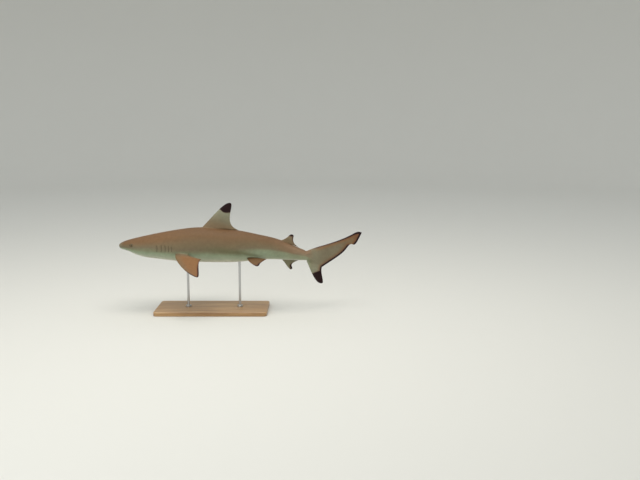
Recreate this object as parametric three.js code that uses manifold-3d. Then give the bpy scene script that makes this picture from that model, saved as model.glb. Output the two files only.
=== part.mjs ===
// A still, life-size model of an adult blacktip reef shark on a plain display stand.
// The shark swims level with a straight body, its nose towards -X and its left side towards -Y.
// Millimetres, +Z up. The origin is the middle of the underside of the stand's base.
// The shark's own group measures x back from the snout tip and z up from the lowest line of the belly.

import * as THREE from 'three';
import { mergeVertices } from 'three/addons/utils/BufferGeometryUtils.js';
import Module from 'manifold-3d';

const wasm = await Module();
wasm.setup();

// ---------------------------------------------------------------- driving dimensions

const GAP = 0.3; // between pieces that touch
const FIN_EDGE = 0.4; // half the thickness that a fin keeps at its trailing edge

const BELLY_HEIGHT = 250; // lowest line of the belly above the floor
const STAND_BEHIND_SNOUT = 462; // middle of the stand behind the snout tip

const HEAD_END = 283; // the head ends behind the last gill slit
const TRUNK_END = 700; // the trunk ends behind the pelvic fins
const PEDUNCLE_END = 937; // the tail ends at the notch before the caudal fin
const TOTAL_LENGTH = 1212; // snout tip to the tip of the caudal fin

// Outline of the body: distance behind the snout tip, then height or half-width there.
const SNOUT_HEIGHT = 84.5;
const BACK = [[0, SNOUT_HEIGHT], [20, 102], [90, 122.5], [200, 146.5], [320, 167], [410, 174.5],
  [520, 166.5], [600, 158], [700, 137.5], [800, 112.5], [880, 79], [PEDUNCLE_END, 55]];
const BELLY = [[0, SNOUT_HEIGHT], [14, 67], [55, 55.5], [110, 32.5], [190, 19], [300, 6.5], [460, 0.5],
  [620, 3.5], [740, 14], [850, 10], [PEDUNCLE_END, 8]];
const FLANK = [[0, 0], [10, 23], [35, 40], [65, 51], [115, 61], [200, 70], [330, 76.5], [440, 77],
  [590, 68], [700, 54], [811, 38], [870, 27], [PEDUNCLE_END, 17]];

// Outline of the caudal fin's upper lobe, with its notch below the tip.
const CAUDAL_BACK = [[PEDUNCLE_END, 55], [962, 65], [1034, 88], [1117, 117], [1165, 140], [1200, 152],
  [TOTAL_LENGTH, 148]];
const CAUDAL_FORK = 1013; // where the two lobes part
const CAUDAL_ROOT = [[PEDUNCLE_END, 8], [CAUDAL_FORK, -27]];
const CAUDAL_MARGIN = [[CAUDAL_FORK, -27], [1046, -4.5], [1106, 37.5], [1133, 64], [1149, 84], [1160, 90],
  [1175, 87], [1187, 99], [TOTAL_LENGTH, 148]];
const CAUDAL_FLANK = [[PEDUNCLE_END, 17], [975, 11], [1030, 7.5], [1110, 4.5], [1190, 2.4],
  [TOTAL_LENGTH, 1]];

// Shape of the cross-sections: how high the widest level lies between belly and back, and how
// square the upper and lower halves are (2 is an ellipse, 1 is a wedge).
const WIDEST_LEVEL = [[0, 0.5], [120, 0.45], [700, 0.47], [PEDUNCLE_END, 0.55], [1000, 0.75],
  [TOTAL_LENGTH, 0.7]];
const UPPER_SQUARENESS = [[0, 2.1], [200, 2.0], [TOTAL_LENGTH, 2.0]];
const LOWER_SQUARENESS = [[0, 2.3], [60, 2.7], [200, 2.4], [600, 2.2], [PEDUNCLE_END, 2.0], [1000, 1.25],
  [TOTAL_LENGTH, 1.3]];

// Head
const EYE = { x: 72, z: 91, halfLength: 12.5, halfHeight: 10.5, halfDepth: 8, proud: 3 };
const NOSTRIL = { x: 40, y: 33, halfLength: 8, halfWidth: 2.2, halfDepth: 3.5, turn: 0.8 };
const JAW = { tip: 62, cornerX: 121, cornerY: 50, back: 152, roofAtTip: 66, roofAtBack: 51, opening: 0.9 };
const GILLS = { x: [197, 219, 238, 255, 270], top: [97, 98, 97, 95, 91], height: [40, 41, 40, 37, 32],
  bow: 3.5, width: 1.5, depth: 5 };

// Fins, each as [along the body, out from it]: the leading edge and the trailing edge are cubic
// curves that meet at the tip, and the inner margin runs from the insertion to the free rear tip.
const FIRST_DORSAL = {
  lead: [[412, 170], [480, 240], [525, 297], [554, 297]],
  trail: [[600, 159.6], [507, 189], [592, 297], [554, 297]],
  insertion: [533, 163], thickness: 7, rootFlare: 5, tipThickness: 1.1, sink: 16, up: 1,
};
const SECOND_DORSAL = {
  lead: [[806, 108], [852, 122], [845, 139], [863, 139]],
  trail: [[897, 73.4], [842, 108], [890, 132], [863, 139]],
  insertion: [851, 89], thickness: 3.2, rootFlare: 3, tipThickness: 0.9, sink: 12, up: 1,
};
const ANAL = {
  lead: [[810, 14], [823, 7], [844, -38], [857, -39]],
  trail: [[894, 6.8], [830, -15], [883, -30], [857, -39]],
  insertion: [853, 11], thickness: 3.2, rootFlare: 3, tipThickness: 0.9, sink: 12, up: -1,
};
const CAUDAL_LOWER = {
  lead: [[930, 12], [950, -13], [973, -117], [1013, -110]],
  trail: [[CAUDAL_FORK, -27], [1003, -57], [1029, -108], [1013, -110]],
  insertion: [CAUDAL_FORK, -24], thickness: 6.5, rootFlare: 2, tipThickness: 1, sink: 14, up: -1,
};
const PECTORAL = {
  lead: [[0, 0], [-10, 27], [73, 168], [129, 183]],
  trail: [[130, 36], [105, 50], [146, 181], [129, 183]],
  insertion: [62, 2], thickness: 7, rootFlare: 5, tipThickness: 1.1, sink: 24, up: 1,
  origin: [292, 67, 45], droop: 25,
};
const PELVIC = {
  lead: [[0, 0], [-8, 10], [38, 65], [52, 60]],
  trail: [[95, 5], [47, 47], [70, 51], [52, 60]],
  insertion: [46, -3], thickness: 4, rootFlare: 3, tipThickness: 0.9, sink: 16, up: 1,
  origin: [644, 36, 24], droop: 30,
};

// Stand
const BASE = { length: 560, width: 260, height: 20, corner: 18, chamfer: 2 };
const ROD = { radius: 6, frontX: -122, rearX: 138, socket: 12, reach: 26, clearance: 0.3 };
const COLLAR = { radius: 14, height: 9, chamfer: 1.2 };

// How finely the shapes are divided
const BODY_RING_POINTS = 32;
const CAUDAL_RING_POINTS = 20;
const HEAD_RINGS = 15;
const TRUNK_RINGS = 12;
const TAIL_RINGS = 10;
const CAUDAL_RINGS = 24;
const FIN_CHORD_STEPS = 7;
const FIN_SPAN_STEPS = 10;
const ROD_SIDES = 18;
const EYE_SIDES = 14;
const NOSTRIL_SIDES = 8;

// ---------------------------------------------------------------- colours and finishes

function finish(colour, roughness, metalness = 0) {
  return new THREE.MeshStandardMaterial({ color: colour, roughness, metalness });
}

const SKIN_BROWN = 0x7d644b;
const SKIN_OLIVE = 0x76705a;
const FIN_BROWN = 0x7c6c50;
const EYE_GOLD = 0x6f5d3f;
const OAK = 0xb08a5c;
const STEEL = 0xb9bbbd;

// ---------------------------------------------------------------- curves

// A smooth function of x through the knots (a natural cubic spline), on a scale that may bend x.
function smoothThrough(knots, scale = (x) => x) {
  const t = knots.map(([x]) => scale(x));
  const v = knots.map(([, value]) => value);
  const last = knots.length - 1;
  const bend = new Array(last + 1).fill(0);
  const carry = new Array(last + 1).fill(0);
  for (let i = 1; i < last; i += 1) {
    const before = t[i] - t[i - 1];
    const after = t[i + 1] - t[i];
    const turn = 6 * ((v[i + 1] - v[i]) / after - (v[i] - v[i - 1]) / before);
    const weight = 2 * (before + after) - before * carry[i - 1];
    carry[i] = after / weight;
    bend[i] = (turn - before * bend[i - 1]) / weight;
  }
  for (let i = last - 1; i > 0; i -= 1) {
    bend[i] -= carry[i] * bend[i + 1];
  }
  return (x) => {
    const at = scale(x);
    let i = 0;
    while (i < last - 1 && at > t[i + 1]) {
      i += 1;
    }
    const span = t[i + 1] - t[i];
    const b = (at - t[i]) / span;
    const a = 1 - b;
    const curve = ((a ** 3 - a) * bend[i] + (b ** 3 - b) * bend[i + 1]) * span * span / 6;
    return a * v[i] + b * v[i + 1] + curve;
  };
}

// Straight lines between the knots.
function linesThrough(knots) {
  return (x) => {
    let i = 0;
    while (i < knots.length - 2 && x > knots[i + 1][0]) {
      i += 1;
    }
    const [[x0, v0], [x1, v1]] = [knots[i], knots[i + 1]];
    return THREE.MathUtils.mapLinear(THREE.MathUtils.clamp(x, x0, x1), x0, x1, v0, v1);
  };
}

function cubic(points, t) {
  const s = 1 - t;
  const weights = [s ** 3, 3 * s * s * t, 3 * s * t * t, t ** 3];
  return [0, 1].map((axis) => points.reduce((sum, point, i) => sum + weights[i] * point[axis], 0));
}

// ---------------------------------------------------------------- solids

// A mesh from rings of equally many points, closed at both ends by a fan. A ring may be one point.
function loft(rings) {
  const positions = [];
  const indices = [];
  const starts = rings.map((ring) => {
    const start = positions.length / 3;
    ring.forEach((point) => positions.push(...point));
    return start;
  });
  for (let k = 0; k < rings.length - 1; k += 1) {
    const n = Math.max(rings[k].length, rings[k + 1].length);
    for (let j = 0; j < n; j += 1) {
      const next = (j + 1) % n;
      const a = starts[k] + (rings[k].length === 1 ? 0 : j);
      const b = starts[k] + (rings[k].length === 1 ? 0 : next);
      const c = starts[k + 1] + (rings[k + 1].length === 1 ? 0 : j);
      const d = starts[k + 1] + (rings[k + 1].length === 1 ? 0 : next);
      if (a !== b) {
        indices.push(a, b, c);
      }
      if (c !== d) {
        indices.push(b, d, c);
      }
    }
  }
  const closeEnd = (ring, start, flip) => {
    if (ring.length === 1) {
      return;
    }
    const centre = positions.length / 3;
    for (let axis = 0; axis < 3; axis += 1) {
      positions.push(ring.reduce((sum, point) => sum + point[axis], 0) / ring.length);
    }
    ring.forEach((point, j) => {
      const here = start + j;
      const next = start + ((j + 1) % ring.length);
      indices.push(centre, flip ? here : next, flip ? next : here);
    });
  };
  closeEnd(rings[0], starts[0], false);
  closeEnd(rings[rings.length - 1], starts[starts.length - 1], true);
  const geometry = new THREE.BufferGeometry();
  geometry.setAttribute('position', new THREE.Float32BufferAttribute(positions, 3));
  geometry.setIndex(indices);
  return geometry;
}

// A manifold solid from a closed geometry, turned right side out.
function solid(geometry) {
  const bare = geometry.clone();
  bare.deleteAttribute('normal');
  bare.deleteAttribute('uv');
  const welded = mergeVertices(bare, 1e-4);
  const make = () => new wasm.Manifold(new wasm.Mesh({
    numProp: 3,
    vertProperties: new Float32Array(welded.attributes.position.array),
    triVerts: new Uint32Array(welded.index.array),
  }));
  let made = make();
  if (made.volume() < 0) {
    const index = welded.index.array;
    for (let i = 0; i < index.length; i += 3) {
      [index[i], index[i + 1]] = [index[i + 1], index[i]];
    }
    made = make();
  }
  return made;
}

function shell(manifold) {
  const mesh = manifold.getMesh();
  const geometry = new THREE.BufferGeometry();
  geometry.setAttribute('position', new THREE.Float32BufferAttribute(mesh.vertProperties, 3));
  geometry.setIndex(Array.from(mesh.triVerts));
  geometry.computeVertexNormals();
  return geometry;
}

function node(name, manifold, material) {
  const mesh = new THREE.Mesh(shell(manifold), material);
  mesh.name = name;
  return mesh;
}

// ---------------------------------------------------------------- body sections

const back = smoothThrough(BACK, Math.sqrt);
const belly = smoothThrough(BELLY, Math.sqrt);
const flank = smoothThrough(FLANK, Math.sqrt);
const caudalBack = smoothThrough(CAUDAL_BACK);
const caudalRoot = linesThrough(CAUDAL_ROOT);
const caudalMargin = smoothThrough(CAUDAL_MARGIN);
const caudalFlank = smoothThrough(CAUDAL_FLANK);
const widestLevel = linesThrough(WIDEST_LEVEL);
const upperSquareness = linesThrough(UPPER_SQUARENESS);
const lowerSquareness = linesThrough(LOWER_SQUARENESS);

function section(x) {
  const inTail = x > PEDUNCLE_END;
  const top = inTail ? caudalBack(x) : back(x);
  let bottom = belly(x);
  if (inTail) {
    bottom = x < CAUDAL_FORK ? caudalRoot(x) : caudalMargin(x);
  }
  return {
    top,
    bottom,
    middle: bottom + widestLevel(x) * (top - bottom),
    half: inTail ? caudalFlank(x) : flank(x),
    upper: upperSquareness(x),
    lower: lowerSquareness(x),
  };
}

// The ring of points round the body at x, from the back down the left side and up the right side.
function ring(x, swell = 0) {
  const at = section(x);
  const count = x > PEDUNCLE_END ? CAUDAL_RING_POINTS : BODY_RING_POINTS;
  const points = [];
  for (let i = 0; i < count; i += 1) {
    const angle = (2 * Math.PI * i) / count;
    const across = Math.abs(Math.sin(angle));
    const along = Math.cos(angle);
    const power = 2 / (along >= 0 ? at.upper : at.lower);
    const reach = along >= 0 ? at.top - at.middle + swell : at.middle - at.bottom + swell;
    const blunt = x > PEDUNCLE_END ? FIN_EDGE * across ** 0.25 : 0;
    const y = (at.half + swell) * across ** power + blunt;
    const z = at.middle + Math.sign(along) * reach * Math.abs(along) ** power;
    points.push([x, Math.sin(angle) > 0 ? -y : y, z]);
  }
  return points;
}

// How far the left or right surface lies from the midline at x, at height z.
function halfWidthAt(x, z) {
  const at = section(x);
  const isUpper = z >= at.middle;
  const reach = isUpper ? at.top - at.middle : at.middle - at.bottom;
  const power = isUpper ? at.upper : at.lower;
  return at.half * (1 - (Math.abs(z - at.middle) / reach) ** power) ** (1 / power);
}

function evenSteps(from, to, count) {
  return Array.from({ length: count + 1 }, (unused, i) => from + ((to - from) * i) / count);
}

// Rings crowd towards the snout tip, where the body is roundest.
function headStations() {
  return evenSteps(0, 1, HEAD_RINGS).slice(1).map((t) => HEAD_END * t * t);
}

function bodyPiece(stations, swell = 0) {
  return solid(loft(stations.map((x) => ring(x, swell))));
}

const snoutTip = [[0, 0, SNOUT_HEIGHT]];
const trunkStations = evenSteps(HEAD_END + GAP, TRUNK_END, TRUNK_RINGS);
const tailStations = evenSteps(TRUNK_END + GAP, PEDUNCLE_END, TAIL_RINGS);
const caudalStations = evenSteps(PEDUNCLE_END + GAP, TOTAL_LENGTH, CAUDAL_RINGS).slice(0, -1);
const caudalTip = [[TOTAL_LENGTH, 0, caudalBack(TOTAL_LENGTH)]];

// The whole body a gap larger, which trims every fin to fit the body.
const swollenBody = bodyPiece([...headStations(), ...trunkStations, ...tailStations], GAP);
const swollenCaudal = solid(loft([...caudalStations.map((x) => ring(x, GAP)), caudalTip]));

// ---------------------------------------------------------------- fins

// Half the thickness of a fin section over its chord: a round leading edge and a thin trailing edge.
function foil(u) {
  return 2.969 * Math.sqrt(u) - 1.26 * u - 3.516 * u ** 2 + 2.843 * u ** 3 - 1.036 * u ** 4;
}

const REAR_TIP_SPAN = 0.07; // share of the span that the inner margin takes
const FLARE_SPAN = 0.08; // share of the span over which the root flare dies away

function trailingPoint(fin, v) {
  if (v >= REAR_TIP_SPAN) {
    return cubic(fin.trail, (v - REAR_TIP_SPAN) / (1 - REAR_TIP_SPAN));
  }
  const t = v / REAR_TIP_SPAN;
  return fin.insertion.map((value, axis) => value + (fin.trail[0][axis] - value) * t);
}

function halfThickness(fin, u, v) {
  const flare = fin.rootFlare * Math.exp(-v / FLARE_SPAN);
  const spine = fin.tipThickness + fin.thickness * (1 - v) ** 1.3 + flare;
  return spine * foil(u) + FIN_EDGE * (1 - (1 - u) ** 4);
}

// The rings of a fin, from a root sunk into the body to the tip. place() turns a point given as
// along, out and thickness into the shark's own x, y, z.
function finRings(fin, place) {
  const spans = [0, REAR_TIP_SPAN / 2];
  for (let k = 0; k < FIN_SPAN_STEPS; k += 1) {
    spans.push(REAR_TIP_SPAN + (1 - REAR_TIP_SPAN) * Math.sin((Math.PI / 2) * (k / FIN_SPAN_STEPS)));
  }
  const ringAt = (v, sunk) => {
    const lead = cubic(fin.lead, v);
    const trail = trailingPoint(fin, v);
    const sides = [[], []];
    for (let j = 0; j <= FIN_CHORD_STEPS; j += 1) {
      const u = (1 - Math.cos((Math.PI * j) / FIN_CHORD_STEPS)) / 2;
      const along = lead[0] + (trail[0] - lead[0]) * u;
      const out = lead[1] + (trail[1] - lead[1]) * u - sunk;
      const thick = halfThickness(fin, u, v);
      sides[0].push(place(along, out, thick));
      if (j > 0) {
        sides[1].unshift(place(along, out, -thick));
      }
    }
    return sides.flat();
  };
  const tip = place(fin.lead[3][0], fin.lead[3][1], 0);
  return [ringAt(0, fin.sink * fin.up), ...spans.map((v) => ringAt(v, 0)), [tip]];
}

function medianFin(fin) {
  return solid(loft(finRings(fin, (along, out, thick) => [along, thick, out])));
}

// A paired fin leaves the body at its origin and droops outwards. side is -1 for left.
function pairedFin(fin, side) {
  const droop = THREE.MathUtils.degToRad(fin.droop);
  const [x0, y0, z0] = fin.origin;
  return solid(loft(finRings(fin, (along, out, thick) => [
    x0 + along,
    side * (y0 + out * Math.cos(droop) + thick * Math.sin(droop)),
    z0 - out * Math.sin(droop) + thick * Math.cos(droop),
  ])));
}

// ---------------------------------------------------------------- head details

function ellipsoid(halfX, halfY, halfZ, sides) {
  const geometry = new THREE.SphereGeometry(1, sides, sides / 2 + 1);
  return geometry.rotateX(Math.PI / 2).scale(halfX, halfY, halfZ);
}

// The eyeball is flattened towards the side of the head, which faces a little forwards and up there.
function eyeBall(side, swell = 0) {
  const { x, z, halfLength, halfDepth, halfHeight } = EYE;
  const forwards = halfWidthAt(x + 1, z) - halfWidthAt(x - 1, z);
  const upwards = halfWidthAt(x, z - 1) - halfWidthAt(x, z + 1);
  const facing = new THREE.Vector3(-forwards, 2 * side, upwards).normalize();
  const turn = new THREE.Quaternion().setFromUnitVectors(new THREE.Vector3(0, side, 0), facing);
  const centre = new THREE.Vector3(x, side * halfWidthAt(x, z), z);
  centre.addScaledVector(facing, EYE.proud - halfDepth);
  const ball = ellipsoid(halfLength + swell, halfDepth + swell, halfHeight + swell, EYE_SIDES);
  return solid(ball.applyQuaternion(turn).translate(centre.x, centre.y, centre.z));
}

function nostrilCut(side) {
  const pit = ellipsoid(NOSTRIL.halfLength, NOSTRIL.halfWidth, NOSTRIL.halfDepth, NOSTRIL_SIDES);
  pit.rotateZ(-side * NOSTRIL.turn); // its outer end lies further forward
  const at = section(NOSTRIL.x);
  const rise = (1 - (NOSTRIL.y / at.half) ** at.lower) ** (1 / at.lower);
  return solid(pit.translate(NOSTRIL.x, side * NOSTRIL.y, at.middle - (at.middle - at.bottom) * rise));
}

// The block that holds the lower jaw: a parabola seen from below, under a sloping roof. The mouth
// is the opening that it leaves round its lip.
function jawBlock(opening = 0, gap = 0) {
  const tip = JAW.tip - opening;
  const halfWidth = JAW.cornerY + opening;
  const outline = new THREE.Shape();
  outline.moveTo(JAW.back + gap, -halfWidth);
  outline.lineTo(JAW.back + gap, halfWidth);
  outline.lineTo(JAW.cornerX, halfWidth);
  outline.quadraticCurveTo(2 * tip - JAW.cornerX, 0, JAW.cornerX, -halfWidth);
  outline.closePath();
  const height = 2 * SNOUT_HEIGHT;
  const extent = { depth: height, bevelEnabled: false, curveSegments: 16 };
  const block = new THREE.ExtrudeGeometry(outline, extent);
  block.translate(0, 0, JAW.roofAtTip + opening - height);
  const slope = (JAW.roofAtBack - JAW.roofAtTip) / (JAW.back - JAW.tip);
  const shear = new THREE.Matrix4().set(1, 0, 0, 0, 0, 1, 0, 0, slope, 0, 1, -slope * JAW.tip, 0, 0, 0, 1);
  return solid(block.applyMatrix4(shear));
}

// A gill slit is a shallow crescent-shaped groove that bows backwards.
function gillCut(index, side) {
  const top = GILLS.top[index];
  const bottom = top - GILLS.height[index];
  const middle = (top + bottom) / 2;
  const x = GILLS.x[index];
  const crescent = new THREE.Shape();
  crescent.moveTo(x, top);
  crescent.quadraticCurveTo(x + 2 * GILLS.bow, middle, x, bottom);
  crescent.quadraticCurveTo(x + 2 * (GILLS.bow + GILLS.width), middle, x, top);
  const floor = halfWidthAt(x, middle) - GILLS.depth;
  const depth = 4 * GILLS.depth;
  const cut = new THREE.ExtrudeGeometry(crescent, { depth, bevelEnabled: false, curveSegments: 5 });
  cut.rotateX(Math.PI / 2); // the crescent now stands up, and its depth runs towards -Y
  return solid(cut.translate(0, side < 0 ? -floor : floor + depth, 0));
}

// ---------------------------------------------------------------- the shark

const shark = new THREE.Group();
shark.position.set(-STAND_BEHIND_SNOUT, 0, BELLY_HEIGHT);

let headSolid = solid(loft([snoutTip, ...headStations().map((x) => ring(x))]));
const jawSolid = headSolid.intersect(jawBlock());
headSolid = headSolid.subtract(jawBlock(JAW.opening, GAP));
for (const side of [-1, 1]) {
  headSolid = headSolid.subtract(eyeBall(side, GAP)).subtract(nostrilCut(side));
  GILLS.x.forEach((unused, index) => {
    headSolid = headSolid.subtract(gillCut(index, side));
  });
}
shark.add(node('head', headSolid, finish(SKIN_BROWN, 0.5)));
shark.add(node('lower_jaw', jawSolid, finish(SKIN_OLIVE, 0.5)));
shark.add(node('eye_left', eyeBall(-1), finish(EYE_GOLD, 0.1)));
shark.add(node('eye_right', eyeBall(1), finish(EYE_GOLD, 0.1)));

// Each rod of the stand ends in a blind pocket in the belly.
function rodSolid(rodX, radius, bottom, top) {
  const bar = new THREE.CylinderGeometry(radius, radius, top - bottom, ROD_SIDES);
  bar.rotateX(Math.PI / 2);
  return solid(bar.translate(rodX, 0, (top + bottom) / 2));
}

const rodTop = (rodX) => BELLY_HEIGHT + belly(rodX + STAND_BEHIND_SNOUT) + ROD.reach;

let trunkSolid = bodyPiece(trunkStations);
for (const rodX of [ROD.frontX, ROD.rearX]) {
  const pocketX = rodX + STAND_BEHIND_SNOUT;
  const pocketTop = rodTop(rodX) - BELLY_HEIGHT + ROD.clearance;
  const pocket = rodSolid(pocketX, ROD.radius + ROD.clearance, -BELLY_HEIGHT, pocketTop);
  trunkSolid = trunkSolid.subtract(pocket);
}
shark.add(node('trunk', trunkSolid, finish(SKIN_BROWN, 0.5)));
shark.add(node('tail', bodyPiece(tailStations), finish(SKIN_OLIVE, 0.5)));

const caudalUpper = solid(loft([...caudalStations.map((x) => ring(x)), caudalTip]));
const caudalLower = medianFin(CAUDAL_LOWER).subtract(swollenCaudal).subtract(swollenBody);
shark.add(node('caudal_upper_lobe', caudalUpper, finish(SKIN_OLIVE, 0.5)));
shark.add(node('caudal_lower_lobe', caudalLower, finish(SKIN_OLIVE, 0.5)));

for (const [name, fin] of [
  ['first_dorsal_fin', FIRST_DORSAL],
  ['second_dorsal_fin', SECOND_DORSAL],
  ['anal_fin', ANAL],
]) {
  shark.add(node(name, medianFin(fin).subtract(swollenBody), finish(FIN_BROWN, 0.5)));
}
for (const [name, fin] of [['pectoral_fin', PECTORAL], ['pelvic_fin', PELVIC]]) {
  shark.add(node(`${name}_left`, pairedFin(fin, -1).subtract(swollenBody), finish(FIN_BROWN, 0.5)));
  shark.add(node(`${name}_right`, pairedFin(fin, 1).subtract(swollenBody), finish(FIN_BROWN, 0.5)));
}

// ---------------------------------------------------------------- the stand

const stand = new THREE.Group();

function baseBoard() {
  const inner = { x: BASE.length / 2 - BASE.chamfer, y: BASE.width / 2 - BASE.chamfer };
  const r = BASE.corner - BASE.chamfer;
  const outline = new THREE.Shape();
  outline.moveTo(-inner.x + r, -inner.y);
  outline.lineTo(inner.x - r, -inner.y);
  outline.absarc(inner.x - r, -inner.y + r, r, -Math.PI / 2, 0);
  outline.lineTo(inner.x, inner.y - r);
  outline.absarc(inner.x - r, inner.y - r, r, 0, Math.PI / 2);
  outline.lineTo(-inner.x + r, inner.y);
  outline.absarc(-inner.x + r, inner.y - r, r, Math.PI / 2, Math.PI);
  outline.lineTo(-inner.x, -inner.y + r);
  outline.absarc(-inner.x + r, -inner.y + r, r, Math.PI, 1.5 * Math.PI);
  const board = new THREE.ExtrudeGeometry(outline, {
    depth: BASE.height - 2 * BASE.chamfer,
    bevelThickness: BASE.chamfer,
    bevelSize: BASE.chamfer,
    bevelSegments: 1,
    curveSegments: 3,
  });
  return solid(board.translate(0, 0, BASE.chamfer));
}

let baseSolid = baseBoard();
for (const rodX of [ROD.frontX, ROD.rearX]) {
  const socket = rodSolid(rodX, ROD.radius + ROD.clearance, BASE.height - ROD.socket, 2 * BASE.height);
  baseSolid = baseSolid.subtract(socket);
}
stand.add(node('stand_base', baseSolid, finish(OAK, 0.45)));

const collarBottom = BASE.height + GAP;
const collarProfile = [
  [ROD.radius + ROD.clearance, 0],
  [COLLAR.radius, 0],
  [COLLAR.radius, COLLAR.height - COLLAR.chamfer],
  [COLLAR.radius - COLLAR.chamfer, COLLAR.height],
  [ROD.radius + ROD.clearance, COLLAR.height],
  [ROD.radius + ROD.clearance, 0],
].map(([r, z]) => new THREE.Vector2(r, z));

for (const [end, rodX] of [['front', ROD.frontX], ['rear', ROD.rearX]]) {
  const rodBottom = BASE.height - ROD.socket + GAP;
  const rod = rodSolid(rodX, ROD.radius, rodBottom, rodTop(rodX));
  stand.add(node(`stand_rod_${end}`, rod, finish(STEEL, 0.3, 1)));
  const collar = new THREE.LatheGeometry(collarProfile, ROD_SIDES);
  collar.rotateX(Math.PI / 2);
  collar.translate(rodX, 0, collarBottom);
  stand.add(node(`stand_collar_${end}`, solid(collar), finish(STEEL, 0.3, 1)));
}

const group = new THREE.Group();
group.add(shark, stand);

export default group;
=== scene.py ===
"""The looks of a life-size blacktip reef shark model on its display stand.

Sizes are in millimetres in the shark's own frame: x runs back from the snout tip, y to the
animal's right, z up from the lowest line of the belly. Each mesh is set in the frame at its end.
"""

import math

import bmesh
import bpy
from mathutils import Matrix, Vector


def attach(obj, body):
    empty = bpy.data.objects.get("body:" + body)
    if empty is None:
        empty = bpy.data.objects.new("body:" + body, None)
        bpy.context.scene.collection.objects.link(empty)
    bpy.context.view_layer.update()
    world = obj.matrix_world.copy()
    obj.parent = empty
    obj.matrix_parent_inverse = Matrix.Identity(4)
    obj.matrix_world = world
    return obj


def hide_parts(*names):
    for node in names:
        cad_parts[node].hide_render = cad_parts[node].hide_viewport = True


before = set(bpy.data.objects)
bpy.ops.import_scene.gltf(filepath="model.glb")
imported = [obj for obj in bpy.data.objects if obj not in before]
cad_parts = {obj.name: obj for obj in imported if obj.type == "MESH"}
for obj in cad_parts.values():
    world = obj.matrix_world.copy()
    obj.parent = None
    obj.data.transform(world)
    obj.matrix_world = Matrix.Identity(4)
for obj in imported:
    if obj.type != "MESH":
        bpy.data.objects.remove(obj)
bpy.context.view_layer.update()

# ---------------------------------------------------------------- the body's outline
# The body of a reef shark is a spindle, deepest at the first dorsal fin, with a blunt round snout.
# These curves give its back, belly and width from the snout tip to the notch before the tail fin.

SNOUT_HEIGHT = 84.5
PEDUNCLE_END = 937
TOTAL_LENGTH = 1212

# Each outline is the station behind the snout tip, then the height or half width there.
BACK = ((0, SNOUT_HEIGHT), (20, 102), (90, 122.5), (200, 146.5), (320, 167), (410, 174.5),
        (520, 166.5), (600, 158), (700, 137.5), (800, 112.5), (880, 79), (PEDUNCLE_END, 55))
BELLY = ((0, SNOUT_HEIGHT), (14, 67), (55, 55.5), (110, 32.5), (190, 19), (300, 6.5), (460, 0.5),
         (620, 3.5), (740, 14), (850, 10), (PEDUNCLE_END, 8))
FLANK = ((0, 0), (10, 23), (35, 40), (65, 51), (115, 61), (200, 70), (330, 76.5), (440, 77),
         (590, 68), (700, 54), (811, 38), (870, 27), (PEDUNCLE_END, 17))
# The widest level is a share of the height; a squareness of 2 is an ellipse and 1 a wedge.
WIDEST_LEVEL = ((0, 0.5), (120, 0.45), (700, 0.47), (PEDUNCLE_END, 0.55), (1000, 0.75),
                (TOTAL_LENGTH, 0.7))
UPPER_SQUARENESS = ((0, 2.1), (200, 2.0))
LOWER_SQUARENESS = ((0, 2.3), (60, 2.7), (200, 2.4), (600, 2.2), (PEDUNCLE_END, 2.0), (1000, 1.25),
                    (TOTAL_LENGTH, 1.3))


def smooth_through(knots, scale=float):
    """A natural cubic spline through (x, value) knots, as a function of x."""
    t = [scale(x) for x, _ in knots]
    v = [value for _, value in knots]
    last = len(knots) - 1
    bend = [0.0] * (last + 1)
    carry = [0.0] * (last + 1)
    for i in range(1, last):
        before, after = t[i] - t[i - 1], t[i + 1] - t[i]
        turn = 6 * ((v[i + 1] - v[i]) / after - (v[i] - v[i - 1]) / before)
        weight = 2 * (before + after) - before * carry[i - 1]
        carry[i] = after / weight
        bend[i] = (turn - before * bend[i - 1]) / weight
    for i in range(last - 1, 0, -1):
        bend[i] -= carry[i] * bend[i + 1]

    def value_at(x):
        at = scale(x)
        i = 0
        while i < last - 1 and at > t[i + 1]:
            i += 1
        span = t[i + 1] - t[i]
        b = (at - t[i]) / span
        a = 1 - b
        curve = ((a**3 - a) * bend[i] + (b**3 - b) * bend[i + 1]) * span * span / 6
        return a * v[i] + b * v[i + 1] + curve

    return value_at


def lines_through(knots):
    """Straight lines between (x, value) knots, level beyond both ends."""
    def value_at(x):
        if x <= knots[0][0]:
            return knots[0][1]
        for (x0, v0), (x1, v1) in zip(knots, knots[1:]):
            if x <= x1:
                return v0 + (v1 - v0) * (x - x0) / (x1 - x0)
        return knots[-1][1]

    return value_at


back = smooth_through(BACK, math.sqrt)
belly = smooth_through(BELLY, math.sqrt)
flank = smooth_through(FLANK, math.sqrt)
widest_level = lines_through(WIDEST_LEVEL)
upper_squareness = lines_through(UPPER_SQUARENESS)
lower_squareness = lines_through(LOWER_SQUARENESS)


def halves(x, top, bottom):
    """The widest level of a section, and the reach and squareness of its upper and lower half."""
    middle = bottom + widest_level(x) * (top - bottom)
    return middle, (top - middle, upper_squareness(x)), (middle - bottom, lower_squareness(x))


def half_width(top, bottom, half, x, z):
    """How far the side lies from the midline at height z of a section."""
    middle, upper, lower = halves(x, top, bottom)
    reach, power = upper if z >= middle else lower
    share = min(1.0, abs(z - middle) / reach) if reach > 1e-6 else 1.0
    return half * (1 - share**power) ** (1 / power)


def body_half_width(x, z):
    return half_width(back(x), belly(x), flank(x), x, z)


def body_height(x, y, up):
    """Height of the upper (up=1) or lower (up=-1) surface at a distance y from the midline."""
    middle, upper, lower = halves(x, back(x), belly(x))
    reach, power = upper if up > 0 else lower
    return middle + up * reach * (1 - min(1.0, abs(y) / flank(x)) ** power) ** (1 / power)


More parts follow.
